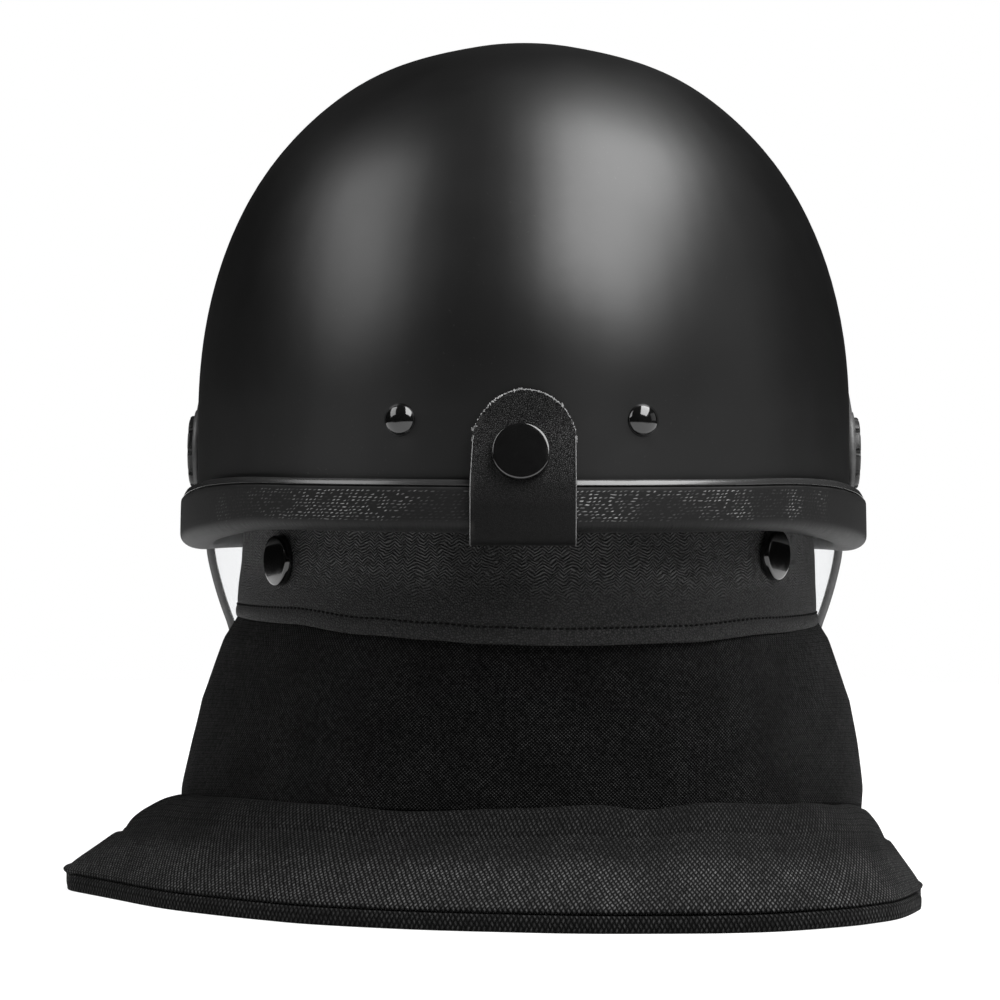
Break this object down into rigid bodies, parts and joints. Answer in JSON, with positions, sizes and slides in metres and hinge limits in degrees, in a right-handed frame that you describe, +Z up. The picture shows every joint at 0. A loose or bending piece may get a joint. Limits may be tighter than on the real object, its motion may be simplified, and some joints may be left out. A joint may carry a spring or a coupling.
{
  "type": "riot helmet",
  "caption": "Black riot helmet with hinged clear visor, rubber edge trim, foam liner and pads, buckled chin strap, and a leather and woven neck guard with snaps.",
  "frame": {"origin": "on the surface that the helmet stands on, below the middle of the shell, where the wearer's head goes in", "axes": "+Z up, -Y the way the wearer looks, +X to the wearer's left"},
  "size_m": [0.3026, 0.3487, 0.3122],
  "materials": {
    "shell": "satin black moulded shell",
    "black_rubber": "matt black rubber",
    "clear_sheet": "clear polycarbonate sheet",
    "black_leather": "grained black leather",
    "black_webbing": "woven black nylon",
    "black_lining": "brushed black lining cloth",
    "liner_foam": "dark expanded foam",
    "black_enamel": "gloss black enamel on steel",
    "steel": "plain steel",
    "black_plastic": "moulded black nylon"
  },
  "bodies": {
    "helmet": {"shell": "shell", "edge_trim": "black_rubber", "impact_liner": "liner_foam", "crown_pad": "black_lining", "brow_pad": "black_lining", "nape_pad": "black_lining", "left_ear_pad": "black_lining", "right_ear_pad": "black_lining", "brow_seal": "black_rubber", "rear_rivets": "black_enamel", "rear_hangers": "black_webbing", "rivet_burrs": "steel", "pivot_bases": "black_plastic", "pivot_washers": "black_plastic", "pivot_screws": "steel", "pivot_backings": "black_plastic", "pivot_nuts": "steel", "left_knob": "black_plastic", "right_knob": "black_plastic", "collar": "black_leather", "collar_snap_caps": "black_enamel", "collar_snap_studs": "steel", "neck_panel": "black_webbing", "neck_flange": "black_webbing", "flange_binding": "black_webbing", "rear_snap_post": "steel", "tab_anchor": "black_leather"},
    "visor_unit": {"visor": "clear_sheet", "visor_seal": "black_rubber"},
    "tab_unit": {"rear_tab": "black_leather", "rear_tab_snap": "black_enamel"},
    "chin_strap": {"anchor_plates": "steel", "strap_short": "black_webbing", "strap_long": "black_webbing", "buckle_socket": "black_plastic", "buckle_plug": "black_plastic", "strap_slider": "black_plastic", "chin_cup": "black_rubber"},
    "front_release": {"front_prong": "black_plastic"},
    "rear_release": {"rear_prong": "black_plastic"}
  },
  "joints": [
    {"name": "visor_hinge", "type": "hinge", "parent": "helmet", "child": "visor_unit", "pos_m": [0, -0.028, 0.16], "axis": [-1, 0, 0], "range_deg": [0, 65]},
    {"name": "tab_fold", "type": "hinge", "parent": "helmet", "child": "tab_unit", "pos_m": [0, 0.1519, 0.1274], "axis": [-1, 0, 0], "range_deg": [0, 100]},
    {"name": "chin_strap_swing", "type": "hinge", "parent": "helmet", "child": "chin_strap", "pos_m": [0, -0.028, 0.16], "axis": [-1, 0, 0], "range_deg": [-30, 40]},
    {"name": "front_release_press", "type": "slide", "parent": "chin_strap", "child": "front_release", "axis": [0, 1, 0], "range_m": [0, 0.002], "stiffness_N_per_m": 800},
    {"name": "rear_release_press", "type": "slide", "parent": "chin_strap", "child": "rear_release", "axis": [0, -1, 0], "range_m": [0, 0.002], "stiffness_N_per_m": 800}
  ],
  "couplings": [
    {"joint": "rear_release_press", "follows": "front_release_press", "ratio": 1}
  ]
}
